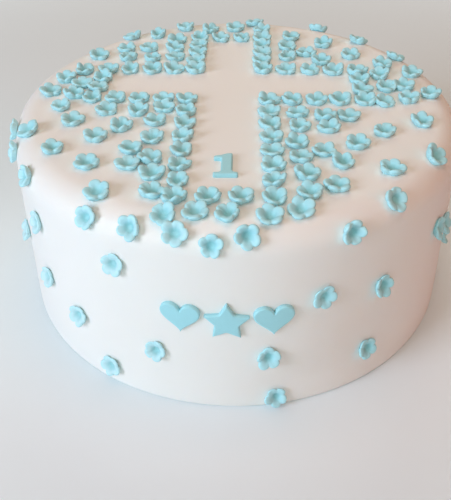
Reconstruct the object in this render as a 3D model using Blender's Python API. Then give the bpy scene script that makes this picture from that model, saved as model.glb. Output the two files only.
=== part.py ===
"""A round christening cake under white sugar paste, with a cross drawn on its top in small cupped
blossoms, a numeral 1 inside the foot of the cross and three cut-outs on the front of its side.

Metres, +Z up. The origin is the middle of the flat base. The upright of the cross runs along Y,
and the front of the cake, with the cut-outs, faces -Y.
"""

import math

import bmesh
import bpy
from mathutils import Matrix, Vector

# The cake: an 8 inch sponge under its paste.
FOOT_RADIUS = 0.1070
SHOULDER_RADIUS = 0.1055
CAKE_HEIGHT = 0.0950
EDGE_ROUNDING = 0.0120
FOOT_ROUNDING = 0.0015
CAKE_SEGMENTS = 96
EDGE_STEPS = 6
FOOT_STEPS = 2

# Every decoration stands this far off the paste that it sits on.
SEAT_GAP = 0.0003

# A blossom, cut from thick paste with a small five-petal cutter and pressed into a cup.
PETALS = 5
BLOSSOM_RADIUS = 0.0049
BLOSSOM_HEIGHT = 0.0042
BLOSSOM_FOOT_RADIUS = 0.0034
PETAL_THICKNESS = 0.0014
NOTCH_DROP = 0.0008
CUP_FLOOR = 0.0016
# Radius as a share of the whole at a notch, a petal's flank, its tip and its other flank.
PETAL_OUTLINE = (0.72, 0.94, 1.0, 0.94)
BLOSSOM_TURN = math.radians(137.5)

# The cross, as the lines that its blossoms stand on. It was laid by eye: it stands a little left
# of the middle, its shaft is narrower above the bar and the ends of the bar aren't quite square.
SHAFT_MIDDLE_X = -0.0033
SHAFT_HALF_ABOVE_BAR = 0.0171
SHAFT_HALF_BELOW_BAR = 0.0193
CROSS_TOP_Y = 0.0724
CROSS_FOOT_Y = -0.0825
BAR_LOW_Y = -0.0015
BAR_HIGH_Y = 0.0325
BAR_LEFT_X = -0.0687
BAR_LEFT_LEAN = 0.0033
BAR_LEFT_RISE = 0.0030
BAR_RIGHT_X = 0.0610
BAR_RIGHT_DIP = 0.0020
BLOSSOM_PITCH = 0.0111

# Blossoms on the side: degrees round from the front, and height above the base.
SIDE_BLOSSOMS = ((8.0, 0.032), (90.0, 0.049), (180.0, 0.036), (270.0, 0.055))

# The numeral 1 lies on the top, inside the foot of the cross.
NUMERAL_MIDDLE = (-0.0033, -0.0590)
NUMERAL_HEIGHT = 0.0164
NUMERAL_FOOT_WIDTH = 0.0102
NUMERAL_FOOT_HEIGHT = 0.0022
NUMERAL_STEM_WIDTH = 0.0047
NUMERAL_STEM_SHIFT = 0.0004
NUMERAL_FLAG_REACH = 0.0031
NUMERAL_FLAG_DEPTH = 0.0022
NUMERAL_FLAG_DROP = 0.0012
NUMERAL_THICKNESS = 0.0021

# The three cut-outs on the front of the side.
CUTOUT_HEIGHT_ABOVE_BASE = 0.0530
CUTOUT_SPACING = 0.0187
CUTOUT_MIDDLE_SHIFT = -0.0023
CUTOUT_THICKNESS = 0.0021
HEART_WIDTH = 0.0165
HEART_POINTS = 32
HEART_CURVE_WIDTH = 32.0
HEART_CURVE_MIDDLE = -2.5
STAR_RADIUS = 0.0098
STAR_INNER_SHARE = 0.52
STAR_TIPS = 5
CUT_EDGE_BEVEL = 0.0005
CUT_EDGE_SEGMENTS = 2

WHITE_PASTE = (0.86, 0.83, 0.80)
TURQUOISE_PASTE = (0.36, 0.76, 0.85)
PASTE_ROUGHNESS = 0.55

WELD = 0.000001
SMOOTH_ANGLE = math.radians(40)


def clear_scene():
    for old in list(bpy.data.objects):
        bpy.data.objects.remove(old, do_unlink=True)


def make_material(name, colour):
    material = bpy.data.materials.new(name)
    material.use_nodes = True
    shader = material.node_tree.nodes["Principled BSDF"]
    shader.inputs["Base Color"].default_value = (*colour, 1.0)
    shader.inputs["Roughness"].default_value = PASTE_ROUGHNESS
    shader.inputs["Metallic"].default_value = 0.0
    return material


def finish_mesh(shape, name, material):
    """Turns a bmesh into a mesh with its faces pointing out and its sharp edges kept."""
    bmesh.ops.recalc_face_normals(shape, faces=shape.faces)
    mesh = bpy.data.meshes.new(name)
    shape.to_mesh(mesh)
    shape.free()
    mesh.materials.append(material)
    mesh.shade_smooth()
    mesh.set_sharp_from_angle(angle=SMOOTH_ANGLE)
    return mesh


def place(name, mesh, matrix):
    piece = bpy.data.objects.new(name, mesh)
    piece.matrix_world = matrix
    bpy.context.scene.collection.objects.link(piece)
    return piece


def arc(centre_r, centre_z, radius, start, end, steps):
    """Points of an arc in the plane of radius and height, angles in degrees above outward."""
    angles = (math.radians(start + (end - start) * i / steps) for i in range(steps + 1))
    return [(centre_r + radius * math.cos(a), centre_z + radius * math.sin(a)) for a in angles]


def wall_radius(height):
    """The side leans in a little, from the foot to the start of the rounded edge."""
    share = height / (CAKE_HEIGHT - EDGE_ROUNDING)
    return FOOT_RADIUS + (SHOULDER_RADIUS - FOOT_RADIUS) * share


def wall_normal(azimuth):
    """Outward direction of the side at an azimuth counted from the front, towards +X."""
    rise = (FOOT_RADIUS - SHOULDER_RADIUS) / (CAKE_HEIGHT - EDGE_ROUNDING)
    return Vector((math.sin(azimuth), -math.cos(azimuth), rise)).normalized()


def wall_seat(azimuth, height):
    """The place of a decoration on the side: its own Z points out and its own Y points up."""
    out = wall_normal(azimuth)
    along = Vector((math.cos(azimuth), math.sin(azimuth), 0.0))
    up = out.cross(along)
    radius = wall_radius(height)
    foot = Vector((radius * math.sin(azimuth), -radius * math.cos(azimuth), height))
    turned = Matrix((along, up, out)).transposed().to_4x4()
    return Matrix.Translation(foot + out * SEAT_GAP) @ turned


def top_seat(x, y):
    return Matrix.Translation((x, y, CAKE_HEIGHT + SEAT_GAP))


def build_cake(material):
    flat_top = SHOULDER_RADIUS - EDGE_ROUNDING
    edge = arc(flat_top, CAKE_HEIGHT - EDGE_ROUNDING, EDGE_ROUNDING, 90, 0, EDGE_STEPS)
    foot = arc(FOOT_RADIUS - FOOT_ROUNDING, FOOT_ROUNDING, FOOT_ROUNDING, 0, -90, FOOT_STEPS)
    profile = [(0.0, CAKE_HEIGHT), *edge, *foot, (0.0, 0.0)]

    shape = bmesh.new()
    points = [shape.verts.new((radius, 0.0, height)) for radius, height in profile]
    edges = [shape.edges.new(pair) for pair in zip(points, points[1:])]
    bmesh.ops.spin(
        shape,
        geom=points + edges,
        cent=(0.0, 0.0, 0.0),
        axis=(0.0, 0.0, 1.0),
        angle=math.tau,
        steps=CAKE_SEGMENTS,
        use_merge=True,
    )
    bmesh.ops.remove_doubles(shape, verts=shape.verts, dist=WELD)
    place("cake", finish_mesh(shape, "cake", material), Matrix.Identity(4))


def blossom_ring(shape, radius, height, lobed, drop):
    """One ring of a blossom. lobed goes from 0, round, to 1, the full petal outline."""
    ring = []
    count = PETALS * len(PETAL_OUTLINE)
    for i in range(count):
        share = PETAL_OUTLINE[i % len(PETAL_OUTLINE)]
        reach = radius * (1.0 + lobed * (share - 1.0))
        depth = drop * (1.0 - share) / (1.0 - PETAL_OUTLINE[0])
        angle = math.tau * i / count
        ring.append(shape.verts.new((reach * math.cos(angle), reach * math.sin(angle), height - depth)))
    return ring


def join_rings(shape, lower, upper):
    for i in range(len(lower)):
        after = (i + 1) % len(lower)
        shape.faces.new((lower[i], lower[after], upper[after], upper[i]))


def blossom_mesh(material):
    """A cup on a small flat foot, with a notched rim as thick as the paste."""
    shape = bmesh.new()
    foot = blossom_ring(shape, BLOSSOM_FOOT_RADIUS, 0.0, 0.0, 0.0)
    outer_rim = blossom_ring(shape, BLOSSOM_RADIUS, BLOSSOM_HEIGHT - PETAL_THICKNESS / 2, 1.0, NOTCH_DROP)
    inner_rim = blossom_ring(shape, BLOSSOM_RADIUS - PETAL_THICKNESS, BLOSSOM_HEIGHT, 1.0, NOTCH_DROP)
    middle = shape.verts.new((0.0, 0.0, CUP_FLOOR))
    shape.faces.new(reversed(foot))
    join_rings(shape, foot, outer_rim)
    join_rings(shape, outer_rim, inner_rim)
    for i in range(len(inner_rim)):
        shape.faces.new((inner_rim[i], inner_rim[(i + 1) % len(inner_rim)], middle))
    return finish_mesh(shape, "blossom", material)


def cross_corners():
    """The twelve corners of the cross, once round, from the left of its foot."""
    left_above, right_above = (SHAFT_MIDDLE_X + side * SHAFT_HALF_ABOVE_BAR for side in (-1, 1))
    left_below, right_below = (SHAFT_MIDDLE_X + side * SHAFT_HALF_BELOW_BAR for side in (-1, 1))
    return [
        (left_below, CROSS_FOOT_Y),
        (right_below, CROSS_FOOT_Y),
        (right_below, BAR_LOW_Y),
        (BAR_RIGHT_X, BAR_LOW_Y),
        (BAR_RIGHT_X, BAR_HIGH_Y - BAR_RIGHT_DIP),
        (right_above, BAR_HIGH_Y),
        (right_above, CROSS_TOP_Y),
        (left_above, CROSS_TOP_Y),
        (left_above, BAR_HIGH_Y),
        (BAR_LEFT_X + BAR_LEFT_LEAN, BAR_HIGH_Y),
        (BAR_LEFT_X, BAR_LOW_Y + BAR_LEFT_RISE),
        (left_below, BAR_LOW_Y),
    ]


def cross_places():
    """Blossom places round the cross: each edge is shared out at about the blossom pitch."""
    corners = cross_corners()
    places = []
    for start, end in zip(corners, corners[1:] + corners[:1]):
        steps = round(math.dist(start, end) / BLOSSOM_PITCH)
        for i in range(steps):
            share = i / steps
            places.append((start[0] + (end[0] - start[0]) * share, start[1] + (end[1] - start[1]) * share))
    return places


def build_blossoms(material):
    mesh = blossom_mesh(material)
    for number, (x, y) in enumerate(cross_places(), 1):
        turn = Matrix.Rotation(BLOSSOM_TURN * number, 4, "Z")
        place(f"cross_blossom_{number:02d}", mesh, top_seat(x, y) @ turn)
    for number, (degrees, height) in enumerate(SIDE_BLOSSOMS, 1):
        turn = Matrix.Rotation(BLOSSOM_TURN * number, 4, "Z")
        place(f"side_blossom_{number}", mesh, wall_seat(math.radians(degrees), height) @ turn)


def cut_from_paste(name, outline, thickness, material):
    """A flat cut-out: its outline, run anticlockwise, made into a slab with a softened top edge."""
    shape = bmesh.new()
    lower = [shape.verts.new((x, y, 0.0)) for x, y in outline]
    base = shape.faces.new(lower)
    grown = bmesh.ops.extrude_face_region(shape, geom=[base], use_keep_orig=True)["geom"]
    upper = [item for item in grown if isinstance(item, bmesh.types.BMVert)]
    bmesh.ops.translate(shape, verts=upper, vec=(0.0, 0.0, thickness))
    rim = [edge for edge in shape.edges if all(vert in upper for vert in edge.verts)]
    bmesh.ops.bevel(
        shape,
        geom=rim,
        offset=CUT_EDGE_BEVEL,
        segments=CUT_EDGE_SEGMENTS,
        profile=0.5,
        affect="EDGES",
    )
    bmesh.ops.triangulate(shape, faces=[face for face in shape.faces if len(face.verts) > 4])
    return finish_mesh(shape, name, material)


def numeral_outline():
    """A plain 1 with a slab foot and a flag at its upper left, about its own middle."""
    stem_left = NUMERAL_STEM_SHIFT - NUMERAL_STEM_WIDTH / 2
    stem_right = NUMERAL_STEM_SHIFT + NUMERAL_STEM_WIDTH / 2
    half_foot = NUMERAL_FOOT_WIDTH / 2
    low, high = -NUMERAL_HEIGHT / 2, NUMERAL_HEIGHT / 2
    foot_high = low + NUMERAL_FOOT_HEIGHT
    flag_high = high - NUMERAL_FLAG_DROP
    flag_low = flag_high - NUMERAL_FLAG_DEPTH
    flag_left = stem_left - NUMERAL_FLAG_REACH
    return [
        (-half_foot, low),
        (half_foot, low),
        (half_foot, foot_high),
        (stem_right, foot_high),
        (stem_right, high),
        (NUMERAL_STEM_SHIFT, high),
        (stem_left, flag_high),
        (flag_left, flag_high),
        (flag_left, flag_low),
        (stem_left, flag_low),
        (stem_left, foot_high),
        (-half_foot, foot_high),
    ]


def heart_outline():
    """Two round lobes over a point: the curve x = sin cubed, y = a sum of four cosines."""
    size = HEART_WIDTH / HEART_CURVE_WIDTH
    outline = []
    for i in range(HEART_POINTS):
        angle = -math.tau * i / HEART_POINTS
        x = 16 * math.sin(angle) ** 3
        y = 13 * math.cos(angle) - 5 * math.cos(2 * angle) - 2 * math.cos(3 * angle) - math.cos(4 * angle)
        outline.append((x * size, (y - HEART_CURVE_MIDDLE) * size))
    return outline


def star_outline():
    outline = []
    for i in range(2 * STAR_TIPS):
        reach = STAR_RADIUS * (STAR_INNER_SHARE if i % 2 else 1.0)
        angle = math.tau * (0.25 + i / (2 * STAR_TIPS))
        outline.append((reach * math.cos(angle), reach * math.sin(angle)))
    return outline


def build_numeral(material):
    mesh = cut_from_paste("numeral_one", numeral_outline(), NUMERAL_THICKNESS, material)
    place("numeral_one", mesh, top_seat(*NUMERAL_MIDDLE))


def build_cutouts(material):
    heart = cut_from_paste("heart", heart_outline(), CUTOUT_THICKNESS, material)
    star = cut_from_paste("star", star_outline(), CUTOUT_THICKNESS, material)
    row = (("heart_left", heart), ("star_middle", star), ("heart_right", heart))
    for i, (name, mesh) in enumerate(row):
        arc_length = CUTOUT_MIDDLE_SHIFT + (i - 1) * CUTOUT_SPACING
        azimuth = arc_length / wall_radius(CUTOUT_HEIGHT_ABOVE_BASE)
        place(name, mesh, wall_seat(azimuth, CUTOUT_HEIGHT_ABOVE_BASE))


def main():
    clear_scene()
    build_cake(make_material("white_paste", WHITE_PASTE))
    build_blossoms(make_material("blossom_paste", TURQUOISE_PASTE))
    cutout_paste = make_material("cutout_paste", TURQUOISE_PASTE)
    build_numeral(cutout_paste)
    build_cutouts(cutout_paste)


main()
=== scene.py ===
import math

import bpy
import numpy as np
from mathutils import Matrix, Vector


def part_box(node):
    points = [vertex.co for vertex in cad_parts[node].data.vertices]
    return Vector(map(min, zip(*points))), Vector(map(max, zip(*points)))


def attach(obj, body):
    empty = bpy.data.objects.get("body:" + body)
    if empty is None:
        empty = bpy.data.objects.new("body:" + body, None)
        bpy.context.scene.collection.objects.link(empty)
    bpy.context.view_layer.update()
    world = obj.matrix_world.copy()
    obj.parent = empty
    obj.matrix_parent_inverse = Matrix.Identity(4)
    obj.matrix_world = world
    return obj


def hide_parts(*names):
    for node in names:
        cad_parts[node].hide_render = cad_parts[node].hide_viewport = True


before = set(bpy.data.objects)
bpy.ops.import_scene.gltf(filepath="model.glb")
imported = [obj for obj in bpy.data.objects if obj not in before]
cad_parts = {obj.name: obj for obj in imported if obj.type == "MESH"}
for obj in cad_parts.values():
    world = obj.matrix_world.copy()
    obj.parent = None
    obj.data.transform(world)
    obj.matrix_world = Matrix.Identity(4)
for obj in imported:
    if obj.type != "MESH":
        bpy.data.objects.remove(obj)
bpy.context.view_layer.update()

mm = 0.001
turn = math.tau
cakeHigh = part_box("cake")[1]
cakeHeight = cakeHigh.z
footRadius = cakeHigh.x


def towards(degrees, elevation):
    # unit vector: so many degrees round from the front towards the right, and so many up from level
    azimuth, height = math.radians(degrees), math.radians(elevation)
    level = math.cos(height)
    return Vector((math.sin(azimuth) * level, -math.cos(azimuth) * level, math.sin(height)))


camera = {
    "distance": 0.4065,
    "azimuth": 1.72,        # degrees to the right of the front
    "elevation": 38.757,
    "roll": -0.743,
    "lens": 51.9,
    "sensor": 36.0,         # along the taller side of the picture
    "nearest": 0.01,        # metres, where the view begins
    "aim": (-0.00578, 0.00444, 0.0),
}


def makeCamera():
    # back is the direction from the aim to the camera; right and up are turned about it by the roll
    back = towards(camera["azimuth"], camera["elevation"])
    level = towards(camera["azimuth"] + 90.0, 0.0)
    upright = back.cross(level)
    roll = math.radians(camera["roll"])
    right = level * math.cos(roll) + upright * math.sin(roll)
    up = upright * math.cos(roll) - level * math.sin(roll)
    lens = bpy.data.cameras.new("camera")
    lens.lens = camera["lens"]
    lens.sensor_width = camera["sensor"]
    lens.clip_start = camera["nearest"]
    eye = bpy.data.objects.new("camera", lens)
    place = Vector(camera["aim"]) + back * camera["distance"]
    eye.matrix_world = Matrix.Translation(place) @ Matrix((right, up, back)).transposed().to_4x4()
    bpy.context.scene.collection.objects.link(eye)
    bpy.context.scene.camera = eye
    print("camera set")


class Shade:
    # a shader socket that takes part in sums: each operator adds one Math node
    def __init__(self, tree, socket=None):
        self.tree = tree
        self.socket = socket

    def add(self, kind, settings=None, values=None, output=0):
        # a node of any kind: its settings first, then a value or a link for each socket, by name or number
        node = self.tree.nodes.new(kind)
        for name, setting in (settings or {}).items():
            setattr(node, name, setting)
        for name, value in (values or {}).items():
            if isinstance(value, Shade):
                self.tree.links.new(value.socket, node.inputs[name])
            else:
                node.inputs[name].default_value = value
        return Shade(self.tree, node.outputs[output])

    def sum(self, operation, first, second):
        return self.add("ShaderNodeMath", {"operation": operation}, {0: first, 1: second})

    def blend(self, share, first, second):
        # a colour between two others: sockets 6 and 7 of a Mix node are its colours, and 2 is the result
        return self.add("ShaderNodeMix", {"data_type": "RGBA"}, {0: share, 6: first, 7: second}, 2)

    def bump(self, relief):
        # a normal, from a relief in metres
        return self.add("ShaderNodeBump", None, {"Strength": 1.0, "Distance": 1.0, "Height": relief})

    def __add__(self, other):
        return self.sum("ADD", self, other)

    def __radd__(self, other):
        return self.sum("ADD", other, self)

    def __sub__(self, other):
        return self.sum("SUBTRACT", self, other)

    def __rsub__(self, other):
        return self.sum("SUBTRACT", other, self)

    def __mul__(self, other):
        return self.sum("MULTIPLY", self, other)

    def __rmul__(self, other):
        return self.sum("MULTIPLY", other, self)


def newMaterial(name):
    material = bpy.data.materials.new(name)
    material.use_nodes = True
    tree = material.node_tree
    shader = tree.nodes["Principled BSDF"]
    return material, Shade(tree), shader


def feed(start, node, links):
    for name, value in links.items():
        start.tree.links.new(value.socket, node.inputs[name])


def noise(start, place, size, detail, roughness):
    # soft noise from 0 to 1 whose patches are about as wide as size, in metres
    return start.add("ShaderNodeTexNoise", None, {
        "Vector": place, "Scale": 1.0 / size, "Detail": detail, "Roughness": roughness,
    })


def soften(shader, paste):
    # light that goes a little way into the paste and comes out again
    shader.inputs["Subsurface Weight"].default_value = paste["softness"]
    shader.inputs["Subsurface Radius"].default_value = paste["softColour"]
    shader.inputs["Subsurface Scale"].default_value = paste["softReach"]


# Each noise is how wide its patches are, how many finer layers it has, and each one's share of the last.
whitePaste = {
    "pale": (0.90, 0.885, 0.86, 1.0),
    "warm": (0.87, 0.85, 0.82, 1.0),
    "patch": (45 * mm, 3.0, 0.5),    # faint patches of tone
    "peel": (5.5 * mm, 1.0, 0.5),    # soft undulations that the smoother leaves
    "peelDepth": 0.030 * mm,
    "grain": (0.6 * mm, 3.0, 0.6),
    "grainDepth": 0.010 * mm,
    "toneShares": (0.7, 0.3),        # of the patches and of the grain
    "rough": 0.50,
    "roughSpread": 0.16,
    "roughGrain": 0.10,
    "softness": 0.12,                # share of the light that goes a little way into the paste
    "softColour": (1.0, 0.8, 0.6),
    "softReach": 2.0 * mm,
}


def makeWhitePaste():
    material, start, shader = newMaterial("whitePaste")
    place = start.add("ShaderNodeTexCoord", output="Object")
    patches, peel, grain = (noise(start, place, *whitePaste[part]) for part in ("patch", "peel", "grain"))
    patchShare, grainShare = whitePaste["toneShares"]
    tone = patches * patchShare + grain * grainShare
    roughness = whitePaste["rough"] + whitePaste["roughSpread"] * (patches - 0.5)
    feed(start, shader, {
        "Base Color": start.blend(tone, whitePaste["warm"], whitePaste["pale"]),
        "Roughness": roughness + whitePaste["roughGrain"] * grain,
        "Normal": start.bump(peel * whitePaste["peelDepth"] + grain * whitePaste["grainDepth"]),
    })
    soften(shader, whitePaste)
    return material


turquoisePaste = {
    "petal": (0.41, 0.78, 0.87, 1.0),
    "shadeAndMottle": (0.22, 0.56, 0.59, 1.0),       # painted shade in the cup's hollow, partly the thicker paste's deeper tint; random mottle on the cut-outs
    "rim": (0.48, 0.86, 0.94, 1.0),        # the paler, powdered edge of a petal; on the outer wall, painted light where the wall faces down into shade
    "rimShare": 0.5,
    "pale": (0.60, 0.83, 0.88, 1.0),       # the palest petals: paler blossoms at random, and painted light on the left of the cake
    "hollow": (0.5, 0.3),                  # share of the painted shade colour in the cup's hollow, and what the dimples add
    "mottle": (0.25, 0.1),                 # share of that darker colour from grain and dimples, a random mottle, on what has no petals
    "grain": (0.5 * mm, 3.0, 0.6),
    "grainDepth": 0.012 * mm,
    "dimple": (2.2 * mm, 1.0, 0.5),
    "dimpleDepth": 0.040 * mm,
    "rough": 0.52,
    "roughSpread": 0.12,
    "softness": 0.05,
    "softColour": (0.6, 0.9, 1.0),
    "softReach": 1.2 * mm,
}


def makeTurquoisePaste(name, petals):
    # petals: the piece carries how near a point is to its rim, which paints light on the outer wall, how deep
    # in the
    #     # cup, which places painted shade in the hollow, and its tone, partly random and partly painted
    #     light by side
    material, start, shader = newMaterial(name)
    place = start.add("ShaderNodeTexCoord", output="Object")
    grain, dimple = (noise(start, place, *turquoisePaste[part]) for part in ("grain", "dimple"))
    if petals:
        rim, cupShade, tone = (
            start.add("ShaderNodeAttribute", {"attribute_name": mark}, output="Fac")
            for mark in ("rim", "cupShade", "tone")
        )
        hollow, dimpled = turquoisePaste["hollow"]
        # the tone: random, and partly painted light, paler at the left of the cake
        colour = start.blend(tone, turquoisePaste["petal"], turquoisePaste["pale"])
        # painted shade: the cup's hollow drawn towards the darker colour
        colour = start.blend(cupShade * (hollow + dimpled * dimple), colour, turquoisePaste["shadeAndMottle"])
        # the rim's paler colour, which over the outer wall is painted light
        colour = start.blend(rim * turquoisePaste["rimShare"], colour, turquoisePaste["rim"])
    else:
        fine, wide = turquoisePaste["mottle"]
        colour = start.blend(grain * fine + dimple * wide, turquoisePaste["petal"], turquoisePaste["shadeAndMottle"])
    feed(start, shader, {
        "Base Color": colour,
        "Roughness": turquoisePaste["rough"] + turquoisePaste["roughSpread"] * (grain - 0.5),
        "Normal": start.bump(dimple * turquoisePaste["dimpleDepth"] + grain * turquoisePaste["grainDepth"]),
    })
    soften(shader, turquoisePaste)
    return material


icing = {
    "edgeRounding": 12.0 * mm,     # the rounded top edge
    "footSpread": 1.5 * mm,        # how much wider the foot is than the shoulder
    "footRounding": 1.5 * mm,
    "around": 256,
    "rows": (30, 14, 40, 3),       # on the flat, the edge, the side and the foot
    "pathSteps": 6000,
    "waves": 7,                    # long soft waves in the paste
    "waveLength": (45 * mm, 110 * mm),
    "waveDepth": 0.90 * mm,        # where all the waves meet
    "topShare": 0.4,               # the top was smoothed flatter than the side
    "fadeHeight": 15.0 * mm,       # the waves fade out towards the base
    "seed": 11,
    # hollows and swells: degrees round from the front, height, how wide, how far out
    "swells": (
        (35, 20 * mm, 22 * mm, -1.2 * mm),
        (15, 10 * mm, 18 * mm, -0.8 * mm),
        (-78, 88 * mm, 24 * mm, -1.5 * mm),
    ),
}

wallLean = math.atan(icing["footSpread"] / (cakeHeight - icing["edgeRounding"]))
flatReach = footRadius - icing["footSpread"] - icing["edgeRounding"]


def makeProfile():
    # The outline runs from the middle of the top over the edge and down to the base. Its heading, 0 on
    # the flat, a right angle straight down, is a broken line over the length of the path, and radius and
    # height are the running sums of the heading's cosine and sine.
    edge = icing["edgeRounding"]
    foot = icing["footRounding"]
    down = turn / 4 - wallLean
    wallDrop = cakeHeight - edge * (1 - math.cos(down)) - foot * (1 + math.cos(down))
    lengths = [flatReach, edge * down, wallDrop / math.cos(wallLean), foot * (turn / 2 - down)]
    knots = np.concatenate([[0.0], np.cumsum(lengths)])
    path = np.linspace(0.0, knots[-1], icing["pathSteps"])
    step = path[1]
    heading = np.interp(path, knots, [0.0, 0.0, down, down, turn / 2])
    middle = (heading[1:] + heading[:-1]) / 2
    radius = np.concatenate([[0.0], np.cumsum(np.cos(middle)) * step])
    height = cakeHeight - np.concatenate([[0.0], np.cumsum(np.sin(middle)) * step])
    return {"knots": knots, "path": path, "heading": heading, "radius": radius, "height": height}


def makeWaves():
    # a row for each wave: its direction, as long as the angle that it turns through in a metre, and the
    # angle that it starts from
    random = np.random.default_rng(icing["seed"])
    ways = random.normal(size=(icing["waves"], 3))
    ways /= np.linalg.norm(ways, axis=1, keepdims=True)
    ways *= turn / random.uniform(*icing["waveLength"], size=(icing["waves"], 1))
    return ways, random.uniform(0.0, turn, icing["waves"])


profile = makeProfile()
waveWays, waveStarts = makeWaves()


def reachAtHeight(height):
    return np.interp(-height, -profile["height"], profile["path"])


def evenSkin(azimuth, reach):
    # a point of the even cake and its outward normal; azimuth runs from the front towards the right,
    # reach is the length of the path from the middle of the top
    heading, radius, height = (
        np.interp(reach, profile["path"], profile[part]) for part in ("heading", "radius", "height")
    )
    sideways, forward = np.sin(azimuth), -np.cos(azimuth)
    point = np.broadcast_arrays(radius * sideways, radius * forward, height)
    normal = np.broadcast_arrays(np.sin(heading) * sideways, np.sin(heading) * forward, np.cos(heading))
    return np.stack(point, -1), np.stack(normal, -1)


def unevenness(point):
    # how far the real paste stands out from the even skin: the mean of a few long sine waves, each along
    # its own direction, and the swells, which are bells about their centres; none of it at the base
    waves = np.sin(point @ waveWays.T + waveStarts).mean(-1) * icing["waveDepth"]
    for degrees, height, spread, out in icing["swells"]:
        centre, _ = evenSkin(np.radians(degrees), reachAtHeight(height))
        distance = np.linalg.norm(point - centre, axis=-1)
        waves = waves + out * np.exp(-(distance / spread) ** 2)
    heights = (0.0, icing["fadeHeight"], cakeHeight - icing["edgeRounding"], cakeHeight)
    return waves * np.interp(point[..., 2], heights, (0.0, 1.0, 1.0, icing["topShare"]))


def skin(azimuth, reach):
    # the even skin, moved out along its normal by the unevenness
    point, normal = evenSkin(azimuth, reach)
    return point + normal * unevenness(point)[..., None], normal


def ringFaces(ring):
    # one face between two neighbours of a row and the same two of the next row, right round
    after = np.roll(ring, -1, axis=1)
    return np.stack([ring[:-1], ring[1:], after[1:], after[:-1]], -1).reshape(-1, 4)


def shellFaces(count, rows, columns):
    # faces of `count` closed shells: a first pole, rows of points that run right round, a last pole
    size = rows * columns + 2
    ring = 1 + np.arange(rows * columns).reshape(rows, columns)
    after = np.roll(ring, -1, axis=1)
    firstPole = np.stack([np.zeros(columns, int), ring[0], after[0]], -1)
    lastPole = np.stack([np.full(columns, size - 1), after[-1], ring[-1]], -1)
    starts = (np.arange(count) * size)[:, None, None]
    quads = (ringFaces(ring) + starts).reshape(-1, 4)
    triangles = (np.concatenate([firstPole, lastPole]) + starts).reshape(-1, 3)
    return quads.tolist() + triangles.tolist()


def shellPoints(rings, firstPole, lastPole):
    # the points in the order that shellFaces counts them: rings is shells by rows by columns
    tail = rings.shape[3:]
    parts = [part.reshape(len(rings), -1, *tail) for part in (firstPole, rings, lastPole)]
    return np.concatenate(parts, axis=1).reshape(-1, *tail)


def makePiece(name, points, faces, material, replaced, marks=None):
    # marks: for each attribute that the material reads, a number for each point
    mesh = bpy.data.meshes.new(name)
    mesh.from_pydata(points.tolist(), [], faces)
    mesh.shade_smooth()
    mesh.materials.append(material)
    for mark, values in (marks or {}).items():
        layer = mesh.attributes.new(mark, "FLOAT", "POINT")
        layer.data.foreach_set("value", values.astype(np.float32))
    piece = bpy.data.objects.new(name, mesh)
    bpy.context.scene.collection.objects.link(piece)
    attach(piece, "root")
    if replaced:
        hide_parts(*replaced)
    print(name, len(points), "points")


def makeIcing(material):
    # the profile carried round the middle: rows go down the profile, columns go round
    knots = profile["knots"]
    stretches = zip(knots, knots[1:], icing["rows"])
    rows = [np.linspace(start, end, count, endpoint=False) for start, end, count in stretches]
    rows = np.concatenate(rows + [knots[-1:]])[1:]
    azimuth = np.arange(icing["around"]) * turn / icing["around"]
    rings, _ = skin(azimuth[None, :], rows[:, None])
    top, _ = skin(np.zeros(1), np.zeros(1))
    base = np.zeros((1, 3))
    points = shellPoints(rings[None], top, base)
    makePiece("icing", points, shellFaces(1, *rings.shape[:2]), material, ["cake"])


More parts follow.
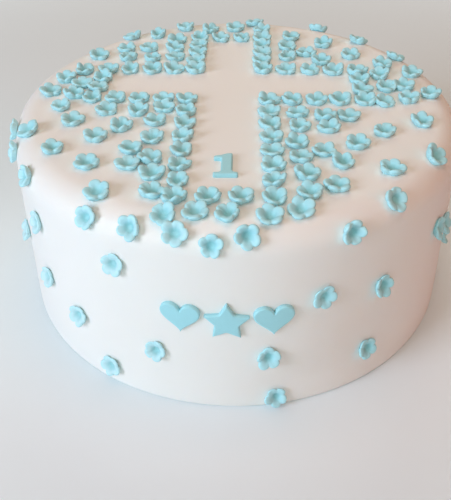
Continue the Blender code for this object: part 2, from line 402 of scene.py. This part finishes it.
blossom = {
    "petals": 5,
    "perPetal": 8,                # points along one petal's edge
    "reach": 5.5 * mm,            # middle to petal tip
    "reachSpread": 0.02,          # how much the reach differs, as a share
    "farthest": 2.0,              # no blossom is more than this many spreads off the mean
    "lobe": 0.36,                 # length of a petal's round end, as a share of the reach
    # The paste's outline, from near the middle of the cup over the rim to the foot, of a cup that is pressed
    # deep and of one that opens out: share of the reach, share of the height, how much of the petals shows.
    "cupped": (
        (0.13, 0.12, 0.1), (0.28, 0.18, 0.3), (0.40, 0.40, 0.5), (0.54, 0.68, 0.8), (0.70, 0.90, 0.95),
        (0.82, 1.00, 1.0), (0.90, 0.99, 1.0), (0.96, 0.93, 1.0), (1.00, 0.83, 1.0), (0.99, 0.69, 1.0),
        (0.96, 0.51, 0.95), (0.91, 0.32, 0.9), (0.84, 0.13, 0.85), (0.75, 0.00, 0.75),
    ),
    "open": (
        (0.13, 0.12, 0.1), (0.23, 0.18, 0.2), (0.34, 0.44, 0.3), (0.48, 0.70, 0.5), (0.66, 0.88, 0.8),
        (0.82, 0.97, 0.95), (0.90, 0.98, 1.0), (0.97, 0.91, 1.0), (1.00, 0.80, 1.0), (0.98, 0.65, 1.0),
        (0.92, 0.48, 0.9), (0.84, 0.31, 0.8), (0.74, 0.13, 0.7), (0.63, 0.00, 0.5),
    ),
    # each for a cupped and for an open one
    "height": (3.5 * mm, 2.7 * mm),
    "notch": (1.8, 1.3),          # how much lower the rim is between petals, as a share of the notch's depth
    "fold": (0.22, 0.05),         # how far two opposite sides are pressed together at most
    # for all of them
    "heightSpread": 0.1,          # how much the height differs at most, as a share
    "insideRows": 5,              # how many points of the paste's outline lie inside the cup
    "floor": 0.12,                # height of the paste in the middle, as a share
    "back": 0.98,                 # size of the ones at the back of the top
    "backFrom": (20.0 * mm, 60.0 * mm),
    "hollowShift": (0.0, 0.14),   # how far the hollow is off the middle, as a share of the reach
    "foldLift": 0.8,              # how much higher two sides stand that are pressed together
    "petalSpread": 0.03,          # how much longer or shorter single petals are
    "petalLift": 0.12,            # and how much higher or lower
    "lean": (0.0, 6.0),           # degrees
    "overhang": 2.0 * mm,         # it is as steep as the skin this much further out
    "sink": 0.10 * mm,            # the foot is pressed into the paste
    "waver": (0.025, 0.035),      # slow unevenness of the outline, twice and three times round
    "toneSpread": 0.12,           # how far towards the pale colour or away from it, at most
    # Marks for the material. Inside, the rim's grows over these shares of the height and of the reach, and
    # the cup's painted shade fades over these shares of the height. Outside, the rim's painted light grows
    # from the foot to the rim.
    "rimUp": (0.75, 1.0),
    "rimOut": (0.6, 0.8),
    "cupShadeUp": (2 / 9, 7 / 9),
    "rimOutside": (0.5, 1.0),
}


# tip is how much further out the rim stands on one side, the lower side where the blossoms hang. The tones
# are
# painted light: how far towards the pale colour the blossoms at the lit left and the shaded right of the cake
# are
blossomGroups = {
    "crossBlossoms": {
        "seed": 21, "size": 1.0, "openness": (0.0, 0.6),
        "tip": (0.0, 0.14), "hang": False, "paintedSideLight": (0.05, 0.0),
    },
    "topBlossoms": {
        "seed": 22, "size": 1.01, "openness": (0.0, 0.6),
        "tip": (0.0, 0.14), "hang": False, "paintedSideLight": (0.05, 0.0),
    },
    "edgeBlossoms": {
        "seed": 24, "size": 0.97, "openness": (0.2, 0.7),
        "tip": (0.0, 0.14), "hang": False, "paintedSideLight": (0.5, 0.0),
    },
    "sideBlossoms": {
        "seed": 23, "size": 0.96, "openness": (0.8, 1.0),
        "tip": (0.35, 0.55), "hang": True, "paintedSideLight": (1.2, -0.4),
    },
}


def petalOutline():
    # The outline is five half ovals set round the middle, each as wide as its share of the round: a point at
    # its own angle a lies 1 - lobe + lobe cos a along the petal and (1 - lobe) tan(half) sin a across it.
    half = turn / blossom["petals"] / 2
    lobe = blossom["lobe"]
    angle = np.linspace(-turn / 4, turn / 4, blossom["perPetal"], endpoint=False)
    along = 1 - lobe + lobe * np.cos(angle)
    across = (1 - lobe) * math.tan(half) * np.sin(angle)
    within = np.arctan2(across, along)
    direction = within + turn / blossom["petals"] * np.arange(blossom["petals"])[:, None]
    share = np.hypot(along, across)
    bulge = np.cos(within / half * turn / 4) ** 2     # 1 at a petal's tip, 0 at the notches
    return direction.ravel(), np.tile(share, blossom["petals"]), np.tile(bulge, blossom["petals"])


def between(random, ends, count):
    return random.uniform(ends[0], ends[1], count)[:, None]


def nearMean(random, count, columns):
    return random.normal(size=(count, columns)).clip(-blossom["farthest"], blossom["farthest"])


def mixed(ends, share):
    return ends[0] + (ends[1] - ends[0]) * share


def levelWay(angle):
    # level unit vectors, each turned from the right towards the back by its angle
    return np.stack([np.cos(angle), np.sin(angle), np.zeros_like(angle)], -1)


def turnAbout(axis, angle):
    # one rotation matrix for each axis and angle: the sum of a cosine, a sine and an outer product part
    x, y, z = axis.T
    zero = np.zeros_like(x)
    cross = np.stack([zero, -z, y, z, zero, -x, -y, x, zero], -1).reshape(-1, 3, 3)
    outer = axis[:, :, None] * axis[:, None, :]
    cosine, sine = np.cos(angle)[:, None, None], np.sin(angle)[:, None, None]
    return np.eye(3) * cosine + cross * sine + outer * (1 - cosine)


def blossomMarks(out, up, inside, tone, shape):
    # what the material reads at each point: nearness to the rim, painted light on the outer wall; depth in
    # the cup,
    #     # for painted shade in the hollow; and the blossom's tone, random and partly painted light by its
    #     side of the cake
    rimInside = np.interp(up, blossom["rimUp"], (0.0, 1.0)) * np.interp(out, blossom["rimOut"], (0.0, 1.0))
    # the rim mark on the outer wall is painted light, lightening the wall where it faces down into shade
    rim = np.where(inside, rimInside, mixed(blossom["rimOutside"], up))
    # the cup mark places the painted shade that darkens the hollow
    cupShade = np.where(inside, np.interp(up, blossom["cupShadeUp"], (1.0, 0.0)), 0.0)
    zeros, ones = np.zeros(len(tone)), np.ones(len(tone))
    return {
        "rim": shellPoints(np.broadcast_to(rim, shape), zeros, zeros),
        "cupShade": shellPoints(np.broadcast_to(cupShade, shape), ones, zeros),
        "tone": shellPoints(np.broadcast_to(tone[:, None, None], shape), tone, tone),
    }


def blossomShells(count, random, group, tipWay, paintedSideLight):
    # Cups, one for each blossom, standing on z = 0 about the z axis. A point's distance out is the reach
    # times the outline's share, less the notch between petals where they show. Its height is the outline's
    # share of the rim's height, which is less at a notch and more where the cup is folded or tipped up.
    direction, share, bulge = petalOutline()
    openness = between(random, group["openness"], count)
    outlines = [np.array(blossom[part]).T[:, None, :, None] for part in ("cupped", "open")]
    out, up, lobed = mixed(outlines, openness[None, :, :, None])
    tallness, notch, press = (mixed(blossom[part], openness) for part in ("height", "notch", "fold"))
    dent = lobed * (1 - share)
    tip = between(random, group["tip"], count)
    fold = between(random, (0.0, 1.0), count) ** 2 * press
    foldWay = between(random, (0.0, turn), count)
    reach = blossom["reach"] * (1 + blossom["reachSpread"] * nearMean(random, count, 1))
    height = tallness * (1 + blossom["heightSpread"] * between(random, (-1.0, 1.0), count))
    longer, higher = (
        np.repeat(nearMean(random, count, blossom["petals"]), blossom["perPetal"], axis=1) * bulge
        * blossom[part] for part in ("petalSpread", "petalLift")
    )

    sideness = np.cos(direction - foldWay) ** 2
    twice, thrice = blossom["waver"]
    uneven = 1 + twice * np.cos(2 * direction - tipWay) + thrice * np.cos(3 * direction + foldWay) + longer
    squash = 1 - fold * sideness
    lift = 1 + fold * blossom["foldLift"] * (sideness - 0.5) + tip * np.cos(direction - tipWay) + higher
    distance = (reach * uneven * squash)[:, None, :] * out * (1 - dent)
    rise = (height * lift)[:, None, :] * up * (1 - notch[..., None] * dent)
    rings = np.stack([distance * np.cos(direction), distance * np.sin(direction), rise], -1)
    middle = np.zeros((count, 3))
    foot = middle.copy()
    middle[:, 2] = height[:, 0] * blossom["floor"]

    # the hollow lies a little off the middle, and its wall runs from there to the rim
    inside = np.arange(out.shape[1])[:, None] < blossom["insideRows"]
    hollow = np.where(inside, 1 - out / out[:, blossom["insideRows"], None], 0.0)
    off = between(random, blossom["hollowShift"], count) * reach
    off = off * levelWay(random.uniform(0.0, turn, count))[:, :2]
    rings[..., :2] += hollow[..., None] * off[:, None, None, :]
    middle[:, :2] += off

    # the tone: painted light by side, plus a random spread
    tone = paintedSideLight + blossom["toneSpread"] * random.uniform(-1.0, 1.0, count)
    return rings, middle, foot, blossomMarks(out, up, inside, tone, rings.shape[:3])


def makeBlossoms(name, seats, material, replaced):
    # seats: azimuth and reach of each blossom on the cake's skin
    group = blossomGroups[name]
    random = np.random.default_rng(group["seed"])
    azimuth, reach = np.array(seats).T
    count = len(seats)
    point, _ = skin(azimuth, reach)
    _, normal = skin(azimuth, reach + blossom["overhang"])
    sideways = levelWay(azimuth)
    upward = np.cross(normal, sideways)
    leanWay, spin = random.uniform(0.0, turn, (2, count))
    tipWay = (-turn / 4 - spin)[:, None] if group["hang"] else between(random, (0.0, turn), count)
    # painted light: blossoms paler at the lit left of the cake and darker at the shaded right
    paintedSideLight = np.interp(point[:, 0], (-footRadius, footRadius), group["paintedSideLight"])
    rings, middle, foot, marks = blossomShells(count, random, group, tipWay, paintedSideLight)
    size = group["size"] * np.interp(point[:, 1], blossom["backFrom"], (1.0, blossom["back"]))

    # spin about the middle, then lean about a line through the foot, as small matrices, one for each blossom
    lean = np.radians(between(random, blossom["lean"], count))[:, 0]
    turned = turnAbout(levelWay(leanWay), lean) @ turnAbout(np.tile((0.0, 0.0, 1.0), (count, 1)), spin)
    local = shellPoints(rings, middle, foot).reshape(count, -1, 3) * size[:, None, None]
    local = local @ turned.transpose(0, 2, 1)

    # none stands taller than the blossoms of the frame: each cup that would is pressed down as a whole
    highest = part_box("cross_blossom_01")[1].z
    local[..., 2] *= np.minimum(1.0, (highest - cakeHeight) / local[..., 2].max(axis=1))[:, None]
    local[..., 2] -= blossom["sink"]
    points = local @ np.stack([sideways, upward, normal], 1)
    points[..., 2] *= np.minimum(1.0, (highest - point[:, 2]) / points[..., 2].max(axis=1))[:, None]
    points = (points + point[:, None, :]).reshape(-1, 3)
    faces = shellFaces(count, rings.shape[1], rings.shape[2])
    makePiece(name, points, faces, material, replaced, marks)


# Blossoms outside the cross, on the flat of the top: millimetres to the right of the middle and back from it.
topPlan = {
    "back left": (
        (-58, 75), (-44, 77), (-29, 87), (-15, 84), (-73, 50), (-59, 58), (-57, 47), (-47, 59), (-44, 46),
        (-33, 69), (-33, 58), (-32, 47), (-1, 87), (10, 94),
    ),
    "left end of the bar": ((-85, 22), (-77, 31), (-90, 8), (-76, 16), (-78, 5), (-82, -7)),
    "front left": (
        (-60, -11), (-45, -12), (-33, -9), (-74, -21), (-36, -22), (-51, -27), (-92, -29), (-61, -36),
        (-36, -37), (-78, -46), (-44, -47), (-35, -54), (-61, -58), (-44, -59), (-33, -66), (-53, -79),
        (-32, -79), (-26, -93),
    ),
    "foot": ((-14, -92), (-2, -93), (14, -94)),
    "back right": (
        (14, 84), (30, 74), (27, 61), (27, 48), (37, 53), (44, 43), (47, 65), (46, 89), (60, 50), (66, 69),
        (75, 38), (83, 48),
    ),
    "right end of the bar": ((72, 26), (73, 12), (70, -3), (82, 13), (88, 28), (82, 0), (93, 5)),
    "front right": (
        (29, -14), (29, -27), (27, -41), (28, -53), (30, -66), (30, -79), (26, -90), (41, -17), (42, -28),
        (38, -48), (45, -57), (41, -74), (52, -17), (53, -42), (66, -31), (84, -22), (84, -50), (64.4, -62),
    ),
}

# Blossoms over the edge: degrees round from the front, and millimetres from the middle along the skin.
edgePlan = (
    (-81.5, 107.5), (-71.5, 108.5), (-57, 106.5), (-33, 105.5), (-22, 104), (-12, 103), (-4.2, 105.8),
    (3.1, 102.7), (25.7, 106.7), (38.6, 101.5),
)

# Blossoms on the side: degrees round from the front, and millimetres above the base.
sidePlan = (
    (-67, 49), (-53.4, 70), (-51.8, 41), (-39.6, 33), (-30.7, 11), (-26.3, 73), (-17.8, 31), (10, 6.2),
    (19.9, 60.8), (33.8, 19), (35.6, 55), (57.5, 63), (64, 58),
)

backScatter = {
    "from": 80.0,          # degrees round, where the photographed side ends
    "to": 262.0,
    "edgeStep": 13.0,      # degrees from one to the next, over the edge and on the side
    "sideStep": 9.3,
    "edgeJitter": 3.0,     # degrees off that place at most
    "sideJitter": 2.0,
    "edgeReach": (115.0, 119.0),   # millimetres from the middle along the skin
    "sideHeight": (9.0, 74.0),     # millimetres above the base
    "firstHeight": 0.3,    # as a share of that range
    "goldenShare": 0.618,  # each height is this share of the range above the last, and wraps
    "apart": 14.0 * mm,
    "seed": 5,
}


def seatAtHeight(degrees, height):
    # a seat on the side, from millimetres above the base
    return math.radians(degrees), float(reachAtHeight(height * mm))


def nodeSeat(name):
    # how far round a node sits, and how far from the middle of the top along the skin
    low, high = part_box(name)
    middle = (low + high) / 2
    azimuth = math.atan2(middle.x, -middle.y)
    if middle.z > cakeHeight:
        return azimuth, math.hypot(middle.x, middle.y)
    return azimuth, float(reachAtHeight(middle.z))


def backSeats(taken):
    # the same sparse scatter, carried on round the back, clear of the blossoms that are there already
    random = np.random.default_rng(backScatter["seed"])
    span = backScatter["to"] - backScatter["from"]
    edge = np.arange(0.0, span, backScatter["edgeStep"]) + backScatter["from"]
    side = np.arange(0.0, span, backScatter["sideStep"]) + backScatter["from"]
    wanted = []
    for degrees in edge:
        azimuth = math.radians(degrees + random.uniform(-1.0, 1.0) * backScatter["edgeJitter"])
        wanted.append((azimuth, random.uniform(*backScatter["edgeReach"]) * mm))
    steps = backScatter["firstHeight"] + backScatter["goldenShare"] * np.arange(len(side))
    for degrees, height in zip(side, mixed(backScatter["sideHeight"], steps % 1.0)):
        wanted.append(seatAtHeight(degrees + random.uniform(-1.0, 1.0) * backScatter["sideJitter"], height))
    seats = list(taken)
    for seat in wanted:
        places, _ = evenSkin(*np.array(seats).T)
        here, _ = evenSkin(*seat)
        if np.linalg.norm(places - here, axis=1).min() > backScatter["apart"]:
            seats.append(seat)
    return seats[len(taken):]


def makeAllBlossoms(material):
    crossNodes, sideNodes = (
        sorted(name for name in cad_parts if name.startswith(start))
        for start in ("cross_blossom", "side_blossom")
    )
    crossSeats = [nodeSeat(name) for name in crossNodes]
    topSeats = [
        (math.atan2(x, -y), math.hypot(x, y) * mm) for places in topPlan.values() for x, y in places
    ]
    edgeSeats = [(math.radians(degrees), reach * mm) for degrees, reach in edgePlan]
    sideSeats = [nodeSeat(name) for name in sideNodes]
    sideSeats += [seatAtHeight(degrees, height) for degrees, height in sidePlan]
    sideSeats += backSeats(topSeats + edgeSeats + sideSeats)
    makeBlossoms("crossBlossoms", crossSeats, material, crossNodes)
    makeBlossoms("topBlossoms", topSeats, material, [])
    makeBlossoms("edgeBlossoms", edgeSeats, material, [])
    makeBlossoms("sideBlossoms", sideSeats, material, sideNodes)


cutOut = {
    "edge": 0.75 * mm,           # the softened edge
    "footEdge": 0.15 * mm,       # the small slant at the foot
    "corner": 0.45 * mm,         # how far a cut corner is rounded
    "spacing": 0.30 * mm,        # between the points of an outline
    "edgeSteps": 6,
    "safe": 0.84,                # share of the room inside an outline that the edge may use
    "flatRings": (1.06, 1.12),   # two rings of the flat top lie this much further in than the edge
    "topRings": 4,               # more rings of the flat top, which shrink to its middle
    "sink": 0.15 * mm,
    "thickness": 2.1 * mm,
}

heart = {
    "width": 16.5 * mm,
    "cosines": (13 / 32, -5 / 32, -2 / 32, -1 / 32),   # how much of each, as a share of the width
    "steps": 96,
}

star = {"radius": 9.8 * mm, "inner": 0.52, "tips": 5}

numeral = {
    "height": 16.4 * mm,
    "footWidth": 10.2 * mm,
    "footHeight": 1.9 * mm,
    "stem": 4.7 * mm,
    "stemShift": 0.4 * mm,      # how far the stem is right of the middle
    "flagReach": 3.1 * mm,      # from the stem
    "flagDepth": 1.7 * mm,
    "flagDrop": 1.3 * mm,       # from the top of the stem
    "flagSlope": 0.7 * mm,
    "bracket": 1.0 * mm,        # the slant between foot and stem
}


def softOutline(corners):
    # the outline, centred on its box and walked at an even step, each point then the mean of its
    # neighbours, which rounds the corners
    corners = corners - (corners.min(axis=0) + corners.max(axis=0)) / 2
    closed = np.concatenate([corners, corners[:1]])
    walked = np.concatenate([[0.0], np.cumsum(np.linalg.norm(np.diff(closed, axis=0), axis=1))])
    count = int(walked[-1] / cutOut["spacing"])
    at = np.arange(count) * walked[-1] / count
    even = np.stack([np.interp(at, walked, closed[:, k]) for k in (0, 1)], -1)
    window = max(1, round(cutOut["corner"] / cutOut["spacing"]))
    return np.mean([np.roll(even, shift, axis=0) for shift in range(-window, window + 1)], axis=0)


def inward(outline):
    # unit vectors across the outline, towards its inside, for an outline that runs anticlockwise
    along = np.roll(outline, -1, axis=0) - np.roll(outline, 1, axis=0)
    along /= np.linalg.norm(along, axis=1, keepdims=True)
    return np.stack([-along[:, 1], along[:, 0]], -1)


def roomInside(outline):
    # radius of the largest circle that touches the outline at a point from inside: over all other points
    # it is the least of distance squared / (2 x distance along the inward direction)
    apart = outline[None] - outline[:, None]
    inwards = np.einsum("ijk,ik->ij", apart, inward(outline))
    squared = (apart ** 2).sum(-1)
    least = 1e-9     # metres: a point less far inside than this limits nothing
    return np.where(inwards > least, squared / (2 * inwards.clip(least)), np.inf).min(axis=1)


def slabRings(outline):
    # A quarter round carried along the outline from the foot up: where there is room for it, in to the
    # full edge, and near a corner only as far as the room allows. Height follows how far in a ring is.
    # The last rings are flat, so that the middle of the top shades flat.
    edge, thickness = cutOut["edge"], cutOut["thickness"]
    room = (roomInside(outline) * cutOut["safe"])[None, :, None]
    angles = np.linspace(0.0, turn / 4, cutOut["edgeSteps"] + 1)
    inset = np.minimum((edge * (1 - np.cos(angles)))[:, None, None], room)
    height = thickness - edge * (1 - np.sqrt(1 - (1 - inset / edge) ** 2))
    foot = np.zeros_like(inset[:2])
    foot[0] = cutOut["footEdge"]
    flat = inset[-1:] * np.array(cutOut["flatRings"])[:, None, None]
    inset = np.concatenate([foot, inset, flat])
    height = np.concatenate([cutOut["footEdge"] - foot, height, np.full_like(flat, thickness)])
    return np.concatenate([outline[None] + inward(outline)[None] * inset, height], -1)


def slabToMiddle(outline):
    # rings of the slab, then rings that shrink to the middle of its top, and both poles
    rings = slabRings(outline)
    shrink = np.linspace(1.0, 0.0, cutOut["topRings"] + 2)[1:-1, None, None]
    cap = rings[-1:] * np.concatenate([shrink, shrink, np.ones_like(shrink)], -1)
    top = np.array([[0.0, 0.0, cutOut["thickness"]]])
    return np.concatenate([rings, cap])[::-1], top, np.zeros((1, 3))


def wrapOnWall(points, azimuth, reach):
    # the slab's width runs round the cake and its height runs up the path, so that it lies snug
    radius = np.interp(reach, profile["path"], profile["radius"])
    place, normal = skin(azimuth + points[..., 0] / radius, reach - points[..., 1])
    return place + normal * (points[..., 2] - cutOut["sink"])[..., None]


def heartOutline():
    # x is half the width times sine cubed, and y is the sum of four cosines, of once to four times the angle
    angle = -np.linspace(0.0, turn, heart["steps"], endpoint=False)
    x = np.sin(angle) ** 3 / 2
    y = sum(share * np.cos(times * angle) for times, share in enumerate(heart["cosines"], 1))
    return np.stack([x, y], -1) * heart["width"]


def starOutline():
    # corners on two circles by turns, the outer for the tips and the inner between them
    corners = np.arange(2 * star["tips"])
    reach = star["radius"] * np.where(corners % 2 == 0, 1.0, star["inner"])
    angle = turn / 4 + corners * turn / len(corners)
    return reach[:, None] * levelWay(angle)[:, :2]


def makeCutOuts(material):
    for name, outline in (
        ("heart_left", heartOutline()),
        ("star_middle", starOutline()),
        ("heart_right", heartOutline()),
    ):
        rings, top, foot = slabToMiddle(softOutline(outline))
        parts = [wrapOnWall(part, *nodeSeat(name)) for part in (rings[None], top, foot)]
        faces = shellFaces(1, *rings.shape[:2])
        shape, place = name.split("_")
        makePiece(shape + place.title(), shellPoints(*parts), faces, material, [name])


def numeralOutline():
    # half of the stem is at each side of its shift; the foot is bracketed to the stem
    n = numeral
    left, right = n["stemShift"] - n["stem"] / 2, n["stemShift"] + n["stem"] / 2
    halfFoot, half, bracket = n["footWidth"] / 2, n["height"] / 2, n["bracket"]
    footTop = n["footHeight"] - half
    flagTop = half - n["flagDrop"]
    flagEnd = left - n["flagReach"]
    flagLow = flagTop - n["flagSlope"]
    return np.array((
        (-halfFoot, -half), (halfFoot, -half), (halfFoot, footTop), (right + bracket, footTop),
        (right, footTop + bracket), (right, half), (n["stemShift"], half), (left, flagTop),
        (flagEnd, flagLow), (flagEnd, flagLow - n["flagDepth"]), (left, flagLow - n["flagDepth"]),
        (left, footTop + bracket), (left - bracket, footTop), (-halfFoot, footTop),
    ))


def makeNumeral(material):
    # the slab's rings from the top down, with one flat face at each end
    rings = slabRings(softOutline(numeralOutline()))[::-1]
    ground, _ = skin(*nodeSeat("numeral_one"))
    points = rings.reshape(-1, 3) + ground - (0.0, 0.0, cutOut["sink"])
    ring = np.arange(len(points)).reshape(rings.shape[:2])
    faces = ringFaces(ring).tolist() + [ring[0].tolist(), ring[-1][::-1].tolist()]
    makePiece("numeralOne", points, faces, material, ["numeral_one"])


studio = {
    "floor": (0.80, 0.88, 0.92, 1.0),
    "floorSize": 8.0,
    "floorRough": 0.8,
    "floorFade": (0.30, 0.75),     # metres from the middle: from here to there it fades into the surroundings
    "sky": (0.010, 0.007, 0.006, 1.0),
    "surroundings": (0.80, 0.81, 0.82, 1.0),   # what the camera sees beyond the floor
    # name: degrees round from the front, elevation, distance, width of the lamp, power, colour
    "lamps": {
        "window": (-54.0, 23.0, 1.6, 0.70, 17.0, (0.78, 0.86, 1.00)),
        "front": (0.0, 35.0, 1.6, 1.00, 7.0, (0.82, 1.00, 0.93)),
        "right": (75.0, 20.0, 1.6, 1.00, 4.5, (1.00, 0.16, 0.00)),
        "back": (180.0, 35.0, 1.6, 1.00, 5.7, (0.95, 1.00, 0.87)),
        "above": (0.0, 89.0, 1.6, 1.00, 8.7, (1.00, 0.67, 0.51)),
    },
}


def makeFloor():
    side = studio["floorSize"] / 2
    mesh = bpy.data.meshes.new("floor")
    corners = [(-side, -side, 0), (side, -side, 0), (side, side, 0), (-side, side, 0)]
    mesh.from_pydata(corners, [], [(0, 1, 2, 3)])
    material, start, shader = newMaterial("floor")
    shader.inputs["Base Color"].default_value = studio["floor"]
    shader.inputs["Roughness"].default_value = studio["floorRough"]
    near, far = studio["floorFade"]
    place = start.add("ShaderNodeTexCoord", output="Object")
    distance = start.add("ShaderNodeVectorMath", {"operation": "LENGTH"}, {0: place}, "Value")
    fade = start.add("ShaderNodeMapRange", {"interpolation_type": "SMOOTHSTEP"}, {
        "Value": distance, "From Min": near, "From Max": far, "To Min": 1.0, "To Max": 0.0,
    })
    seen = start.add("ShaderNodeLightPath", output="Is Camera Ray")
    feed(start, shader, {"Alpha": 1.0 - seen * (1.0 - fade)})
    mesh.materials.append(material)
    floor = bpy.data.objects.new("floor", mesh)
    bpy.context.scene.collection.objects.link(floor)
    print("floor laid")


def makeLamps():
    # each lamp looks at the middle of the cake
    for name, (degrees, elevation, distance, width, power, colour) in studio["lamps"].items():
        lamp = bpy.data.lights.new(name, "AREA")
        lamp.size = width
        lamp.energy = power
        lamp.color = colour
        holder = bpy.data.objects.new(name, lamp)
        back = towards(degrees, elevation)
        holder.location = back * distance + Vector((0, 0, cakeHeight / 2))
        holder.rotation_euler = back.to_track_quat("Z", "Y").to_euler()
        bpy.context.scene.collection.objects.link(holder)
    print("lamps set")


def makeRoom():
    # the surroundings light the cake like the dim sky, and only the camera sees them pale
    world = bpy.data.worlds.new("room")
    world.use_nodes = True
    start = Shade(world.node_tree)
    seen = start.add("ShaderNodeLightPath", output="Is Camera Ray")
    dim, pale = (
        start.add("ShaderNodeBackground", None, {"Color": studio[part]}) for part in ("sky", "surroundings")
    )
    both = start.add("ShaderNodeMixShader", None, {0: seen, 1: dim, 2: pale})
    feed(start, world.node_tree.nodes["World Output"], {"Surface": both})
    bpy.context.scene.world = world
    bpy.context.scene.view_settings.view_transform = "Standard"
    print("room set")


makeCamera()
makeIcing(makeWhitePaste())
makeAllBlossoms(makeTurquoisePaste("blossomPaste", True))
cutOutPaste = makeTurquoisePaste("cutOutPaste", False)
makeNumeral(cutOutPaste)
makeCutOuts(cutOutPaste)
makeFloor()
makeLamps()
makeRoom()
